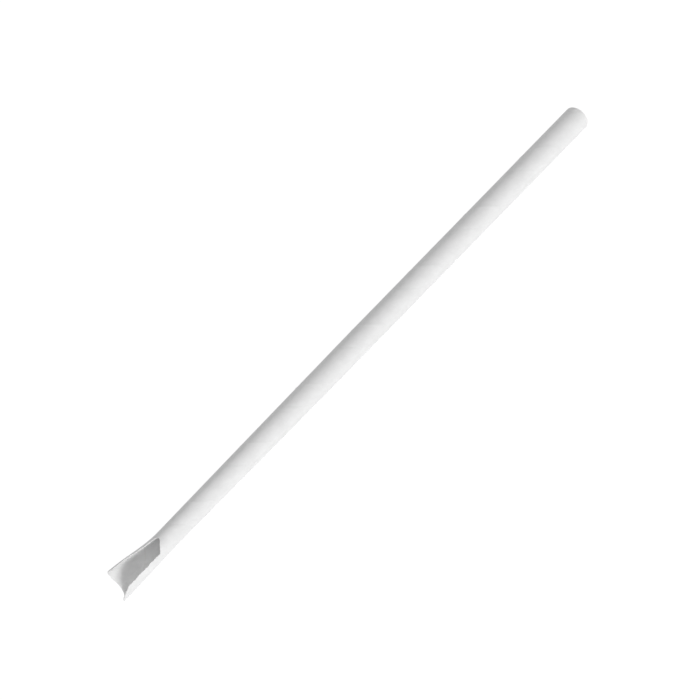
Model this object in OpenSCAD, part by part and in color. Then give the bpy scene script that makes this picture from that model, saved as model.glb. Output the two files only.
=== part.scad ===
// Bare paper spoon straw: one wound paper tube whose tail end is slotted and opened into a scoop.
// It lies on the floor along X, with the mouth end at +X and the scoop at -X, open side up.
// The origin is on the floor, under the middle of the straw. The far side is +Y, the near side -Y.

/* [Tube] */
// Length from the mouth end to the scoop's tip
straw_len = 196.8; // [160:0.2:260]
// Outer diameter of the round part
tube_d = 7.8; // [6.6:0.2:12]
// Thickness of the wound paper wall
wall = 0.4; // [0.3:0.05:0.6]

/* [Slot] */
// Length of the open scoop, from the slot's point to the tip
scoop_len = 22.9; // [19:0.1:40]
// Length of the slanting cut from the slot's point to the near long edge
near_notch_len = 3.2; // [2:0.1:6]
// Length of the curved cut from the slot's point to the far long edge
far_notch_len = 5.3; // [3.2:0.1:7]
// Turn of the slot's point off the top line, negative towards the near side
point_turn = -5.9; // [-10:0.1:2]
// Paper cut away on the near side of the top line, laid flat, where the long edge starts
near_cut_back = 4.35; // [3:0.05:5]
// The same at the tip
near_cut_tip = 0.65; // [0.2:0.05:4]
// Paper cut away on the far side of the top line, laid flat, where the long edge starts
far_cut_back = 2.5; // [1:0.05:3]
// The same at the tip
far_cut_tip = 0.3; // [0.2:0.05:4]

/* [Tip] */
// How far the near wall opens outwards at the tip
near_flare = 0.74; // [0:0.02:1.5]
// How far the far wall opens outwards at the tip
far_flare = 1; // [0:0.02:1.5]
// How much the opened section grows in height at the tip
flare_rise = 2.37; // [0.4:0.01:3]
// Distance from the slot's point to where the walls start to open
flare_start = 1.7; // [0:0.1:6]
// How far the rounded end's near corner lies behind the tip
near_end_back = 7.9; // [1:0.1:10]
// How far its far corner does
far_end_back = 6.1; // [1:0.1:10]
// How late the end curves back towards the near corner, 1 is a straight slant
near_end_curve = 2.9; // [1:0.1:4]
// The same towards the far corner
far_end_curve = 2.6; // [1:0.1:4]

/* [Pinch] */
// Length of the hand-pinched stretch and scoop, from the tip to where the tube is round
pinch_len = 104; // [60:0.2:140]
// How late the pinch deepens towards the slot's point, 1 is a straight taper
pinch_curve = 1.3; // [1:0.1:2]
// How far the far side is pressed in at the slot's point
far_press = 0.71; // [0:0.01:1.4]
// How far the near side is pressed in at the slot's point
near_press = 0.46; // [0:0.01:1]
// Distance past the slot's point over which the walls come back out
release_len = 17; // [8:0.5:18]

/* [Underside] */
// How far the pinched stretch is pressed flat on what it lies on, so it doesn't roll
rest_press = 0.1; // [0.06:0.01:0.2]
// Length over which that flat strip fades in from the round tube
rest_fade = 17; // [10:1:30]

/* [Hidden] */

tube_r = tube_d / 2;
half_turn_w = PI * tube_r; // laid-flat width of half the tube's wall
x_mouth = straw_len / 2;
x_tip = -straw_len / 2;
x_point = x_tip + scoop_len;
x_edge = x_point - max(near_notch_len, far_notch_len);
x_round = x_tip + pinch_len;

joint_overlap = 0.5; // the shaped wall reaches this far into the round one
joint_inset = 0.02; // and lies this far inside both of its faces there
joint_fade = 4; // length over which the inset dies out

columns = 44; // strips around the wall
tube_rows = 12; // rings from the round tube to the slot's point
notch_rows = 5; // rings along the slot's point
scoop_rows = 14; // rings from there to the tip
rows = tube_rows + notch_rows + scoop_rows;

function ramp(u) = min(1, max(0, u));
function ease(u) = let(v = ramp(u)) v * v * (3 - 2 * v);
function blend(a, b, u) = a + (b - a) * u;

// Shape of the section at x: pressed in towards the slot's point, opened towards the tip
function pressed(x) =
    pow(ramp((x_round - x) / (x_round - x_point)), pinch_curve) * (1 - ease((x_point - x) / release_len));
function opened(x) = ease((x_point - flare_start - x) / (scoop_len - flare_start));
function near_half(x) = tube_r - near_press * pressed(x) + near_flare * opened(x);
function far_half(x) = tube_r - far_press * pressed(x) + far_flare * opened(x);
function half_height(x) = tube_r + flare_rise * opened(x);
function sunk(x) = rest_press * ease((x_round - x) / rest_fade);

// How much smaller the wall's turn gets as the section opens
function unrolled(press, half, x) =
    norm([tube_r - press * pressed(x), tube_r]) / norm([half, half_height(x)]);

// Angle of each slot edge from the floor line, 180 at the top
function long_edge(cut_back, cut_tip, press, half, x) =
    let(cut = blend(cut_back, cut_tip, ramp((x_point - x) / scoop_len)))
    180 * (half_turn_w - cut) / half_turn_w * unrolled(press, half, x);
function near_edge(x) =
    blend(180 + point_turn, long_edge(near_cut_back, near_cut_tip, near_press, near_half(x), x),
          ramp((x_point - x) / near_notch_len));
function far_edge(x) =
    blend(180 - point_turn, long_edge(far_cut_back, far_cut_tip, far_press, far_half(x), x),
          sqrt(1 - pow(1 - ramp((x_point - x) / far_notch_len), 2)));

// Point on the wall: turn is the angle from the floor line, inset the depth below the outer face
function wall_point(x, turn, inset) =
    let(
        half = turn < 0 ? near_half(x) : far_half(x),
        height = half_height(x),
        side = turn < 0 ? -1 : 1,
        out = [half * sin(abs(turn)), height * (1 - cos(turn))],
        inward = [-height * sin(abs(turn)), half * cos(turn)],
        p = out + inset * inward / norm(inward)
    )
    [x, side * p[0], max(p[1] - sunk(x), inset)];

// Turn of one column, from the near edge to the far edge
function column_turn(x, column) = blend(-near_edge(x), far_edge(x), column / columns);

// How far the rounded end lies behind the tip along one column
function end_back(column) =
    let(turn = column_turn(x_tip, column))
    turn < 0
        ? near_end_back * pow(-turn / near_edge(x_tip), near_end_curve)
        : far_end_back * pow(turn / far_edge(x_tip), far_end_curve);

// Place of ring and column along the straw
function ring_x(row, column) =
    row == 0 ? x_round + joint_overlap
    : row <= tube_rows ? blend(x_round, x_point, (row - 1) / (tube_rows - 1))
    : row <= tube_rows + notch_rows ? blend(x_point, x_edge, (row - tube_rows) / notch_rows)
    : blend(x_edge, x_tip + end_back(column), (row - tube_rows - notch_rows) / scoop_rows);
function seat_inset(x) = joint_inset * (1 - ramp((x_round - x) / joint_fade));

// Rings up to the slot's point are closed, so their last column is their first one
function at(row, column) = row * (columns + 1) + (row <= tube_rows && column == columns ? 0 : column);

module shaped_wall() {
    ring_points = (rows + 1) * (columns + 1);
    outer = [for (row = [0:rows], column = [0:columns])
        let(x = ring_x(row, column)) wall_point(x, column_turn(x, column), seat_inset(x))];
    inner = [for (row = [0:rows], column = [0:columns])
        let(x = ring_x(row, column)) wall_point(x, column_turn(x, column), wall - seat_inset(x))];
    skins = [for (row = [0:rows - 1], column = [0:columns - 1])
        let(
            a = at(row, column), b = at(row, column + 1),
            c = at(row + 1, column + 1), d = at(row + 1, column),
            n = ring_points
        )
        each [[a, b, c], [a, c, d], [n + a, n + c, n + b], [n + a, n + d, n + c]]];
    ends = [for (column = [0:columns - 1])
        let(
            a = at(0, column), b = at(0, column + 1),
            c = at(rows, column), d = at(rows, column + 1),
            n = ring_points
        )
        each [[a, n + a, b], [b, n + a, n + b], [c, d, n + c], [d, n + d, n + c]]];
    cut_edges = [for (row = [tube_rows:rows - 1])
        let(
            a = at(row, 0), b = at(row + 1, 0),
            c = at(row, columns), d = at(row + 1, columns),
            n = ring_points
        )
        each [[a, b, n + a], [b, n + b, n + a], [c, n + c, d], [d, n + c, n + d]]];
    polyhedron(points = concat(outer, inner), faces = concat(skins, ends, cut_edges));
}

module round_tube() {
    translate([x_round, 0, tube_r])
        rotate([0, 90, 0])
            difference() {
                cylinder(h = x_mouth - x_round, r = tube_r, $fn = 96);
                translate([0, 0, -1])
                    cylinder(h = x_mouth - x_round + 2, r = tube_r - wall, $fn = 96);
            }
}

module straw() {
    color("white")
        union() {
            round_tube();
            shaped_wall();
        }
}

straw();
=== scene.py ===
import math

import bpy
from mathutils import Matrix, Vector


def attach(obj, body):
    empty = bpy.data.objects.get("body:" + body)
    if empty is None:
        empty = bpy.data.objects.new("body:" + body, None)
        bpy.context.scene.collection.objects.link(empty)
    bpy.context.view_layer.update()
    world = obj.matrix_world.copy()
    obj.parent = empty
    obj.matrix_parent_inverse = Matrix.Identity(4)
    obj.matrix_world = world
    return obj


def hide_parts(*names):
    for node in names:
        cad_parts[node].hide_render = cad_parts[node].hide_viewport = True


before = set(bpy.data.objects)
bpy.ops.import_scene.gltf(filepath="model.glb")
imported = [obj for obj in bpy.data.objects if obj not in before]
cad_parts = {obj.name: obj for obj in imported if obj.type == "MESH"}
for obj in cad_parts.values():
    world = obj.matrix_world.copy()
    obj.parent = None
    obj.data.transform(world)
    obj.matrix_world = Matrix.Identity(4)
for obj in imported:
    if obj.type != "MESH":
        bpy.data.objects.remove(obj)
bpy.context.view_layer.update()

# The straw lies along X, mouth end at +X, scoop at -X and open upwards.
# Shapes are worked out in millimetres and made metres at the end.

toMetres = 0.001


# Camera: about 14 cm away with a wide lens, looking down at the open side from 66 degrees

camera = {
    "aim": (2.6, 0.0, 3.9),
    "distance": 138.74,
    "tiltFromVertical": 24.0,
    "rollAlong": (0.69825, 0.71586),  # picture's right, as shares of the straw's own direction and of "down"
    "nudgeRight": -0.348,
    "nudgeUp": -0.172,
    "lens": 24.01,
    "sensorWidth": 36.0,
    "clipStart": 0.005,
    "clipEnd": 20.0,
}


def addCamera():
    tilt = math.radians(camera["tiltFromVertical"])
    back = Vector((0, -math.sin(tilt), math.cos(tilt)))
    along = Vector((1, 0, 0))
    down = Vector((0, -math.cos(tilt), -math.sin(tilt)))
    alongShare, downShare = camera["rollAlong"]
    right = (along * alongShare + down * downShare).normalized()
    up = back.cross(right)
    place = Vector(camera["aim"]) + back * camera["distance"]
    place += right * camera["nudgeRight"] + up * camera["nudgeUp"]
    bpy.ops.object.camera_add(location=place * toMetres)
    view = bpy.context.object
    view.name = "viewCamera"
    view.data.type = "PERSP"
    view.data.sensor_width = camera["sensorWidth"]
    view.data.lens = camera["lens"]
    view.data.clip_start = camera["clipStart"]
    view.data.clip_end = camera["clipEnd"]
    view.rotation_euler = Matrix((right, up, back)).transposed().to_euler()
    bpy.context.scene.camera = view


addCamera()
print("camera placed")


# Small helpers

def selectOnly(piece):
    bpy.ops.object.select_all(action="DESELECT")
    piece.select_set(True)
    bpy.context.view_layer.objects.active = piece


def applyModifier(piece, name):
    selectOnly(piece)
    bpy.ops.object.modifier_apply(modifier=name)


def ramp(u):
    return min(1.0, max(0.0, u))


def ease(u):
    u = ramp(u)
    return u * u * (3 - 2 * u)


def between(a, b, u):
    return a + (b - a) * u


# Straw: one sheet of wound paper, cut while flat, rolled up, closed, then given its wall

straw = {
    "length": 196.8,
    "diameter": 7.8,
    "wall": 0.4,
    "scoopLength": 22.9,
    "nearNotchLength": 3.2,
    "farNotchLength": 5.3,
    "pointTurn": -5.9,
    "nearCutBack": 4.35,
    "nearCutTip": 0.65,
    "farCutBack": 2.5,
    "farCutTip": 0.3,
    "nearFlare": 0.74,
    "farFlare": 1.0,
    "flareRise": 2.37,
    "flareStart": 1.7,
    "nearEndBack": 7.9,
    "farEndBack": 6.1,
    "nearEndCurve": 2.9,
    "farEndCurve": 2.6,
    "pinchLength": 104.0,
    "pinchCurve": 1.3,
    "farPress": 0.71,
    "nearPress": 0.46,
    "releaseLength": 17.0,
    "restPress": 0.1,
    "restFade": 17.0,
    "curlPlace": -91.2,  # the far lip curls inwards just behind its corner
    "curlLength": 4.0,
    "curlWidth": 1.5,
    "curlIn": 0.4,
    "windingSlope": 0.975,  # millimetres along the straw for each millimetre round it
    "columns": 96,
    "rowStep": 0.9,
    "nearNotchSteps": 4,
    "farNotchSteps": 8,
    "endSteps": 12,
    "sheetMargin": 2.0,  # how far the uncut sheet goes past both ends
    "cutThreshold": 0.0005,
    "mergeDistance": 0.01,
    "smoothAngle": 35.0,
}
mapUnit = 10.0  # millimetres to one unit of the paper's map
radius = straw["diameter"] / 2
halfTurn = math.pi * radius
windingPitch = 2 * halfTurn * straw["windingSlope"]
mouthX = straw["length"] / 2
tipX = -mouthX
pointX = tipX + straw["scoopLength"]
roundX = tipX + straw["pinchLength"]
nearSide = -halfTurn * (180 + straw["pointTurn"]) / 180  # the flat sheet's two long sides
farSide = nearSide + 2 * halfTurn

# The winding's two seams: their place in one pitch, how far they reach before and after it,
# and the rows of points that follow them

lapSeam = {
    "place": -0.88,
    "rise": 0.05,
    "before": 0.42,
    "after": 0.22,
    "rows": (-0.42, -0.2, -0.05, 0.05, 0.22),
}
buttSeam = {
    "place": -9.93,
    "drop": 0.035,
    "before": 0.16,
    "after": 0.2,
    "rows": (-0.16, -0.04, 0.04, 0.2),
}


def pressed(x):
    grown = ramp((roundX - x) / (roundX - pointX)) ** straw["pinchCurve"]
    return grown * (1 - ease((pointX - x) / straw["releaseLength"]))


def opened(x):
    return ease((pointX - straw["flareStart"] - x) / (straw["scoopLength"] - straw["flareStart"]))


def sideShape(side):
    if side > 0:
        return straw["farPress"], straw["farFlare"]
    return straw["nearPress"], straw["nearFlare"]


def halfWidth(x, side):
    press, flare = sideShape(side)
    return radius - press * pressed(x) + flare * opened(x)


def halfHeight(x):
    return radius + straw["flareRise"] * opened(x)


def sunk(x):
    return straw["restPress"] * ease((roundX - x) / straw["restFade"])


def seamShare(seam, x, across):
    # 1 on the seam, falling to 0 where its reach ends
    phase = x - straw["windingSlope"] * across
    past = (phase - seam["place"] + windingPitch / 2) % windingPitch - windingPitch / 2
    if past < 0:
        return ease(1 + past / seam["before"])
    return 1 - ease(past / seam["after"])


def seamRelief(x, across):
    relief = -lapSeam["rise"]
    relief += lapSeam["rise"] * seamShare(lapSeam, x, across)
    relief -= buttSeam["drop"] * seamShare(buttSeam, x, across)
    return relief


def lipCurl(x, across):
    along = ease(1 - abs(x - straw["curlPlace"]) / straw["curlLength"])
    return straw["curlIn"] * along * ramp(1 - (farLimit(x) - across) / straw["curlWidth"]) ** 2


def rolledPoint(x, across, depth):
    side = 1 if across > 0 else -1
    press = sideShape(side)[0]
    height = halfHeight(x)
    half = halfWidth(x, side)
    smaller = math.hypot(radius - press * pressed(x), radius) / math.hypot(half, height)
    turn = math.pi * abs(across) / halfTurn * smaller
    if turn > math.pi:  # past the top line, so on the other side
        turn = 2 * math.pi - turn
        side = -side
        half = halfWidth(x, side)
    inset = depth if depth > 0 else -seamRelief(x, across)
    outY = half * math.sin(turn)
    outZ = height * (1 - math.cos(turn))
    inY = -height * math.sin(turn)
    inZ = half * math.cos(turn)
    size = math.hypot(inY, inZ)
    y = outY + inset * inY / size
    z = outZ + inset * inZ / size
    if x < pointX and across > 0:
        y -= lipCurl(x, across)
    return Vector((x, side * y, max(z - sunk(x), depth)))


def nearLimit(x):
    cut = between(straw["nearCutBack"], straw["nearCutTip"], ramp((pointX - x) / straw["scoopLength"]))
    return between(nearSide, cut - halfTurn, ramp((pointX - x) / straw["nearNotchLength"]))


def farLimit(x):
    cut = between(straw["farCutBack"], straw["farCutTip"], ramp((pointX - x) / straw["scoopLength"]))
    bend = math.sqrt(1 - (1 - ramp((pointX - x) / straw["farNotchLength"])) ** 2)
    return between(farSide, halfTurn - cut, bend)


def slotLines():
    nearSteps, farSteps = straw["nearNotchSteps"], straw["farNotchSteps"]
    near = [pointX - straw["nearNotchLength"] * step / nearSteps for step in range(nearSteps + 1)]
    far = [
        pointX - straw["farNotchLength"] * (1 - math.cos(math.pi / 2 * step / farSteps))
        for step in range(farSteps + 1)
    ]
    return [(x, nearLimit(x)) for x in near + [tipX]], [(x, farLimit(x)) for x in far + [tipX]]


def endLine():
    points = []
    steps = straw["endSteps"]
    for step in range(-steps, steps + 1):
        share = abs(step) / steps
        if step < 0:
            x = tipX + straw["nearEndBack"] * share ** straw["nearEndCurve"]
            points.append((x, share * nearLimit(x)))
        else:
            x = tipX + straw["farEndBack"] * share ** straw["farEndCurve"]
            points.append((x, share * farLimit(x)))
    return [(points[0][0], nearSide)] + points + [(points[-1][0], farSide)]


def limitAt(line, index, value):
    for a, b in zip(line, line[1:]):
        low, high = sorted((a[index], b[index]))
        if low <= value <= high and high > low:
            return between(a[1 - index], b[1 - index], (value - a[index]) / (b[index] - a[index]))
    return None


def selectFaces(piece, wanted):
    bpy.context.tool_settings.mesh_select_mode = (False, False, True)
    mesh = piece.data
    mesh.vertices.foreach_set("select", [False] * len(mesh.vertices))
    mesh.edges.foreach_set("select", [False] * len(mesh.edges))
    count = 0
    for face in mesh.polygons:
        face.select = wanted([mesh.vertices[i].co for i in face.vertices])
        if face.select:
            count += 1
            for i in face.vertices:
                mesh.vertices[i].select = True
            for i in face.loop_indices:
                mesh.edges[mesh.loops[i].edge_index].select = True
    return count


def bisectAlong(piece, a, b):
    lowX, highX = min(a[0], b[0]), max(a[0], b[0])
    lowY, highY = min(a[1], b[1]), max(a[1], b[1])

    def crosses(corners):
        xs = [c.x for c in corners]
        ys = [c.y for c in corners]
        return max(xs) >= lowX and min(xs) <= highX and max(ys) >= lowY and min(ys) <= highY

    if not selectFaces(piece, crosses):
        return
    bpy.ops.object.mode_set(mode="EDIT")
    bpy.ops.mesh.bisect(
        plane_co=(a[0], a[1], 0), plane_no=(a[1] - b[1], b[0] - a[0], 0),
        threshold=straw["cutThreshold"],
    )
    bpy.ops.object.mode_set(mode="OBJECT")


def windingRows():
    # rows of points that follow the winding: close together at the seams, evenly spread between them
    marks = set()
    for seam in (lapSeam, buttSeam):
        for row in seam["rows"]:
            marks.add((seam["place"] + row) % windingPitch)
    marks = sorted(marks)
    rows = []
    for a, b in zip(marks, marks[1:] + [marks[0] + windingPitch]):
        steps = max(1, round((b - a) / straw["rowStep"]))
        rows += [between(a, b, i / steps) for i in range(steps)]
    first = math.floor((tipX - straw["windingSlope"] * farSide) / windingPitch) - 1
    last = math.ceil((mouthX - straw["windingSlope"] * nearSide) / windingPitch) + 1
    return [row + windingPitch * k for k in range(first, last) for row in rows]


def addFlatSheet():
    low = tipX - straw["windingSlope"] * farSide - straw["sheetMargin"]
    high = mouthX - straw["windingSlope"] * nearSide + straw["sheetMargin"]
    rows = [row for row in windingRows() if low < row < high]
    bpy.ops.object.select_all(action="DESELECT")
    bpy.ops.mesh.primitive_grid_add(
        x_subdivisions=len(rows) - 1, y_subdivisions=straw["columns"], size=2, location=(0, 0, 0)
    )
    sheet = bpy.context.object
    sheet.name = "paper_straw"
    for vertex in sheet.data.vertices:
        row = round((vertex.co.x + 1) / 2 * (len(rows) - 1))
        share = (vertex.co.y + 1) / 2
        y = between(nearSide, farSide, share)
        vertex.co = Vector((rows[row] + straw["windingSlope"] * y, y, 0))
    return sheet


def cutSheet(sheet):
    # square ends first, then the slot and the rounded end
    for x, sense in ((mouthX, 1), (tipX, -1)):
        selectFaces(sheet, lambda corners: True)
        bpy.ops.object.mode_set(mode="EDIT")
        bpy.ops.mesh.bisect(
            plane_co=(x, 0, 0), plane_no=(sense, 0, 0), clear_outer=True,
            threshold=straw["cutThreshold"],
        )
        bpy.ops.object.mode_set(mode="OBJECT")
    near, far = slotLines()
    end = endLine()
    for line in (near, far, end):
        for a, b in zip(line, line[1:]):
            bisectAlong(sheet, a, b)

    def waste(corners):
        x = sum(c.x for c in corners) / len(corners)
        y = sum(c.y for c in corners) / len(corners)
        if x < pointX and (y < limitAt(near, 0, x) or y > limitAt(far, 0, x)):
            return True
        limit = limitAt(end, 1, y)
        return limit is not None and x < limit

    selectFaces(sheet, waste)
    bpy.ops.object.mode_set(mode="EDIT")
    bpy.ops.mesh.delete(type="FACE")
    bpy.ops.object.mode_set(mode="OBJECT")


def mapFlatPaper(sheet):
    # centimetres on the flat sheet, for the paper's pattern, and each point's place for the rolling
    layer = sheet.data.uv_layers.active
    layer.name = "flatPaper"
    for loop in sheet.data.loops:
        flat = sheet.data.vertices[loop.vertex_index].co
        layer.data[loop.index].uv = (flat.x / mapUnit, flat.y / mapUnit)
    places = sheet.data.attributes.new("flatPlace", "FLOAT_VECTOR", "POINT")
    for vertex in sheet.data.vertices:
        places.data[vertex.index].vector = vertex.co


def rollUp(sheet):
    for vertex in sheet.data.vertices:
        vertex.co = rolledPoint(vertex.co.x, vertex.co.y, 0.0)
    selectOnly(sheet)
    bpy.ops.object.mode_set(mode="EDIT")
    bpy.ops.mesh.select_all(action="SELECT")
    bpy.ops.mesh.remove_doubles(threshold=straw["mergeDistance"])
    bpy.ops.mesh.normals_make_consistent(inside=False)
    bpy.ops.object.mode_set(mode="OBJECT")


def giveWall(sheet):
    mesh = sheet.data
    outerCount = len(mesh.vertices)
    wall = sheet.modifiers.new("wall", "SOLIDIFY")
    wall.thickness = straw["wall"]
    wall.offset = -1
    wall.use_rim = True
    applyModifier(sheet, "wall")
    places = [tuple(item.vector) for item in mesh.attributes["flatPlace"].data]
    # the wall's depth is 0 on the outer face and 1 on the inner one
    depth = mesh.attributes.new("wallDepth", "FLOAT", "POINT")
    for vertex in mesh.vertices:
        if vertex.index < outerCount:
            continue
        depth.data[vertex.index].value = 1.0
        vertex.co = rolledPoint(places[vertex.index][0], places[vertex.index][1], straw["wall"])
    mesh.attributes.remove(mesh.attributes["flatPlace"])


paperStraw = addFlatSheet()
print("flat sheet:", len(paperStraw.data.polygons), "faces")
cutSheet(paperStraw)
print("cut sheet:", len(paperStraw.data.polygons), "faces")
mapFlatPaper(paperStraw)
rollUp(paperStraw)
giveWall(paperStraw)
paperStraw.data.transform(Matrix.Scale(toMetres, 4))
selectOnly(paperStraw)
bpy.ops.object.shade_smooth_by_angle(angle=math.radians(straw["smoothAngle"]))
print("rolled straw:", len(paperStraw.data.polygons), "faces")
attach(paperStraw, "root")
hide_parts("straw")


# Materials

def toLinear(code):
    parts = [int(code[i:i + 2], 16) / 255 for i in (1, 3, 5)]
    return tuple(p / 12.92 if p <= 0.04045 else ((p + 0.055) / 1.055) ** 2.4 for p in parts) + (1.0,)


def addNode(tree, kind, settings, links):
    node = tree.nodes.new(kind)
    for name, value in settings.items():
        if isinstance(name, int) or name in node.inputs:
            node.inputs[name].default_value = value
        else:
            setattr(node, name, value)
    for name, socket in links.items():
        tree.links.new(socket, node.inputs[name])
    return node


# Uncoated bleached paper, wound in a spiral from three glued plies: matt, a little cloudy,
# with its fibres along the strip. Real fibres are 0.03 mm wide, a tenth of a pixel, so they are
# drawn five times coarser. Sizes and heights are in millimetres.

paper = {
    "colour": "#F3F3F3",
    "cloudColour": "#EEEEEE",
    "fibreColour": "#F7F7F7",
    # the glue's own colour, also used for the inner seam's line of painted shade
    "glueAndSeamShadeColour": "#CFCBC2",
    "plies": 3,
    "cloudSize": 3.0,
    "cloudDetail": 3.0,
    "cloudRoughness": 0.55,
    "cloudTint": (0.35, 0.65),  # values of the noise where its tint begins and is full
    "cloudHeight": 0.012,
    "fibreWidth": 0.15,
    "fibreLength": 1.1,
    "fibreDetail": 2.0,
    "fibreRoughness": 0.6,
    "fibreTint": (0.5, 0.75),
    "fibreShare": 0.6,
    "fibreHeight": 0.003,
    "glueLine": (0.03, 0.08),  # full and gone, in shares of the wall off the line's middle
    "glueShare": 0.55,
    # painted shade: the inner seam's groove is drawn as a darker line in the glue colour
    "innerSeam": 6.4,  # its place in one pitch
    "innerSeamShadeLine": (0.05, 0.2),  # full and gone, in millimetres off the seam
    "innerSeamShadeShare": 0.3,
    "insideFrom": 0.98,  # wall depth from which a point counts as the inner face
    "roughness": (0.78, 0.88),
    "roughnessClouds": (0.3, 0.7),
    "specular": 0.3,
    "sheen": 0.06,
    "sheenRoughness": 0.6,
}


def addMath(tree, operation, first, second):
    values, links = {"operation": operation}, {}
    for index, item in enumerate((first, second)):
        if isinstance(item, (int, float)):
            values[index] = item
        else:
            links[index] = item
    return addNode(tree, "ShaderNodeMath", values, links).outputs[0]


def addRange(tree, value, lows, highs):
    return addNode(
        tree, "ShaderNodeMapRange",
        {"From Min": lows[0], "From Max": lows[1], "To Min": highs[0], "To Max": highs[1]},
        {"Value": value},
    ).outputs[0]


def addTint(tree, share, first, code):
    # the colour mix takes its share at 0 and its two colours at 6 and 7, and gives the mixed one at 2
    links = {0: share}
    values = {"data_type": "RGBA", 7: toLinear(code)}
    if isinstance(first, str):
        values[6] = toLinear(first)
    else:
        links[6] = first
    return addNode(tree, "ShaderNodeMix", values, links).outputs[2]


def makePaper():
    material = bpy.data.materials.new("woundWhitePaper")
    material.use_nodes = True
    tree = material.node_tree
    shader = tree.nodes["Principled BSDF"]
    flat = addNode(tree, "ShaderNodeUVMap", {"uv_map": "flatPaper"}, {}).outputs[0]
    depth = addNode(tree, "ShaderNodeAttribute", {"attribute_name": "wallDepth"}, {}).outputs["Fac"]
    # millimetres along the strip and across it
    alongStrip = math.atan2(1.0, straw["windingSlope"])
    strip = addNode(
        tree, "ShaderNodeMapping",
        {"Scale": (mapUnit, mapUnit, mapUnit), "Rotation": (0, 0, -alongStrip)}, {"Vector": flat},
    ).outputs[0]
    clouds = addNode(
        tree, "ShaderNodeTexNoise",
        {
            "Scale": 1 / paper["cloudSize"],
            "Detail": paper["cloudDetail"],
            "Roughness": paper["cloudRoughness"],
        },
        {"Vector": strip},
    ).outputs[0]
    slender = addNode(
        tree, "ShaderNodeMapping",
        {"Scale": (1 / paper["fibreLength"], 1 / paper["fibreWidth"], 1)}, {"Vector": strip},
    ).outputs[0]
    fibres = addNode(
        tree, "ShaderNodeTexNoise",
        {"Scale": 1.0, "Detail": paper["fibreDetail"], "Roughness": paper["fibreRoughness"]},
        {"Vector": slender},
    ).outputs[0]
    # the two glue lines between the plies, half a ply off the wall's middle, on the cut edge only
    fromMiddle = addMath(tree, "ABSOLUTE", addMath(tree, "SUBTRACT", depth, 0.5), 0.0)
    fromLine = addMath(tree, "ABSOLUTE", addMath(tree, "SUBTRACT", fromMiddle, 0.5 / paper["plies"]), 0.0)
    glue = addRange(tree, fromLine, paper["glueLine"], (paper["glueShare"], 0.0))
    # the inner ply's own seam, on the inside only, drawn as painted shade: a darker line where its small
    # groove's shade would fall, which the mesh does not model
    phase = addNode(
        tree, "ShaderNodeVectorMath",
        {"operation": "DOT_PRODUCT", 1: (mapUnit, -mapUnit * straw["windingSlope"], 0)},
        {0: flat},
    ).outputs["Value"]
    wrapped = addNode(
        tree, "ShaderNodeMath", {"operation": "WRAP", 1: windingPitch / 2, 2: -windingPitch / 2},
        {0: addMath(tree, "SUBTRACT", phase, paper["innerSeam"])},
    ).outputs[0]
    fromSeam = addMath(tree, "ABSOLUTE", wrapped, 0.0)
    line = addRange(tree, fromSeam, paper["innerSeamShadeLine"], (paper["innerSeamShadeShare"], 0.0))
    inside = addMath(tree, "GREATER_THAN", depth, paper["insideFrom"])
    seam = addMath(tree, "MULTIPLY", line, inside)
    cloudShare = addRange(tree, clouds, paper["cloudTint"], (0.0, 1.0))
    colour = addTint(tree, cloudShare, paper["colour"], paper["cloudColour"])
    fibreShare = addRange(tree, fibres, paper["fibreTint"], (0.0, paper["fibreShare"]))
    colour = addTint(tree, fibreShare, colour, paper["fibreColour"])
    # glue lines in the plies' own glue colour, and the inner seam's painted shade in the same colour
    colour = addTint(tree, addMath(tree, "MAXIMUM", glue, seam), colour, paper["glueAndSeamShadeColour"])
    rough = addRange(tree, clouds, paper["roughnessClouds"], paper["roughness"])
    height = addMath(
        tree, "ADD", addMath(tree, "MULTIPLY", clouds, paper["cloudHeight"]),
        addMath(tree, "MULTIPLY", fibres, paper["fibreHeight"]),
    )
    bump = addNode(
        tree, "ShaderNodeBump", {"Strength": 1.0, "Distance": toMetres}, {"Height": height}
    ).outputs[0]
    tree.links.new(colour, shader.inputs["Base Color"])
    tree.links.new(rough, shader.inputs["Roughness"])
    tree.links.new(bump, shader.inputs["Normal"])
    shader.inputs["Specular IOR Level"].default_value = paper["specular"]
    shader.inputs["Sheen Weight"].default_value = paper["sheen"]
    shader.inputs["Sheen Roughness"].default_value = paper["sheenRoughness"]
    return material


paperStraw.data.materials.clear()
paperStraw.data.materials.append(makePaper())
print("paper made")


# Floor, daylight and key

setting = {
    "floorSize": 6.0,
    "floorColour": "#F4F4F4",
    "floorRoughness": 0.9,
    "floorGlow": 1.12,
    "floorShare": 0.85,
    "ambient": 0.489,
    "ambientTilt": 0.45,  # how much more daylight comes from the mouth end's direction
    "keyStrength": 1.42,
    "keyElevation": 22.5,
    "keyTowardsMouth": -2.0,
    "keyAngle": 20.0,
}
plainWhite = (1, 1, 1, 1)


def addSeen(tree):
    # 1 for rays that see the setting itself, 0 for those that only light the straw
    path = addNode(tree, "ShaderNodeLightPath", {}, {})
    seen = addMath(tree, "MAXIMUM", path.outputs["Is Camera Ray"], path.outputs["Is Glossy Ray"])
    return addMath(tree, "MAXIMUM", seen, path.outputs["Is Transmission Ray"])


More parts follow.
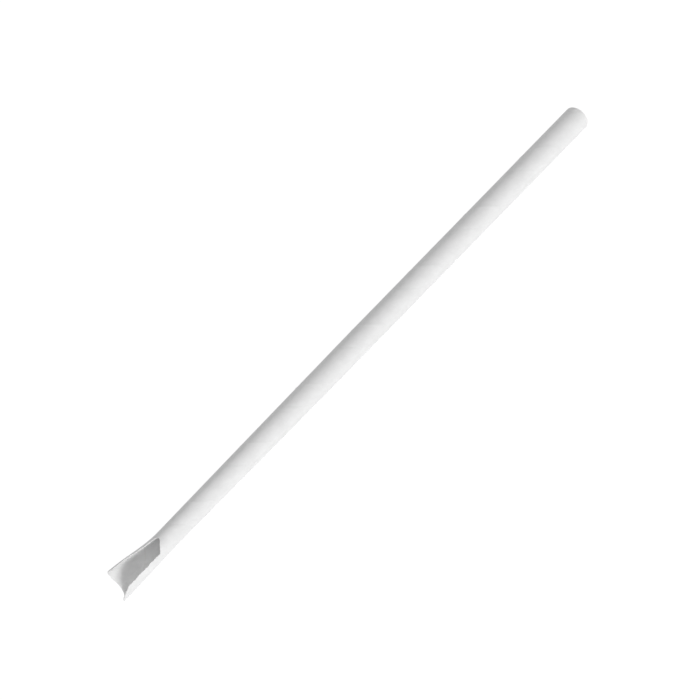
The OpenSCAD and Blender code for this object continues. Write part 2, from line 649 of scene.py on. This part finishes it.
def addFloor():
    bpy.ops.object.select_all(action="DESELECT")
    bpy.ops.mesh.primitive_plane_add(size=setting["floorSize"], location=(0, 0, 0))
    floor = bpy.context.object
    floor.name = "paleFloor"
    material = bpy.data.materials.new("paleFloorSheet")
    material.use_nodes = True
    tree = material.node_tree
    shader = tree.nodes["Principled BSDF"]
    shader.inputs["Base Color"].default_value = toLinear(setting["floorColour"])
    shader.inputs["Roughness"].default_value = setting["floorRoughness"]
    light = addNode(tree, "ShaderNodeEmission", {"Color": plainWhite, "Strength": setting["floorGlow"]}, {})
    share = addMath(tree, "MULTIPLY", addSeen(tree), setting["floorShare"])
    mix = addNode(
        tree, "ShaderNodeMixShader", {},
        {0: share, 1: shader.outputs[0], 2: light.outputs[0]},
    )
    tree.links.new(mix.outputs[0], tree.nodes["Material Output"].inputs["Surface"])
    floor.data.materials.append(material)


def addDaylight():
    world = bpy.data.worlds.new("plainDaylight")
    bpy.context.scene.world = world
    world.use_nodes = True
    tree = world.node_tree
    tree.nodes.clear()
    direction = addNode(tree, "ShaderNodeTexCoord", {}, {}).outputs["Generated"]
    tilt = addNode(
        tree, "ShaderNodeVectorMath", {"operation": "DOT_PRODUCT", 1: (setting["ambientTilt"], 0, 0)},
        {0: direction},
    ).outputs["Value"]
    strength = addMath(tree, "MULTIPLY", addMath(tree, "ADD", tilt, 1.0), setting["ambient"])
    daylight = addNode(tree, "ShaderNodeBackground", {"Color": plainWhite}, {"Strength": strength})
    white = addNode(tree, "ShaderNodeBackground", {"Color": plainWhite, "Strength": 1.0}, {})
    mix = addNode(
        tree, "ShaderNodeMixShader", {},
        {0: addSeen(tree), 1: daylight.outputs[0], 2: white.outputs[0]},
    )
    addNode(tree, "ShaderNodeOutputWorld", {}, {"Surface": mix.outputs[0]})


def addKey():
    rise = math.radians(setting["keyElevation"])
    swing = math.radians(setting["keyTowardsMouth"])
    travels = Vector((math.sin(swing) * math.cos(rise), math.cos(swing) * math.cos(rise), -math.sin(rise)))
    bpy.ops.object.light_add(type="SUN", location=-travels)
    key = bpy.context.object
    key.name = "softKey"
    key.data.energy = setting["keyStrength"]
    key.data.angle = math.radians(setting["keyAngle"])
    key.rotation_euler = travels.to_track_quat("-Z", "Y").to_euler()


addFloor()
addDaylight()
addKey()
bpy.context.scene.view_settings.view_transform = "Standard"
print("floor and lights placed")
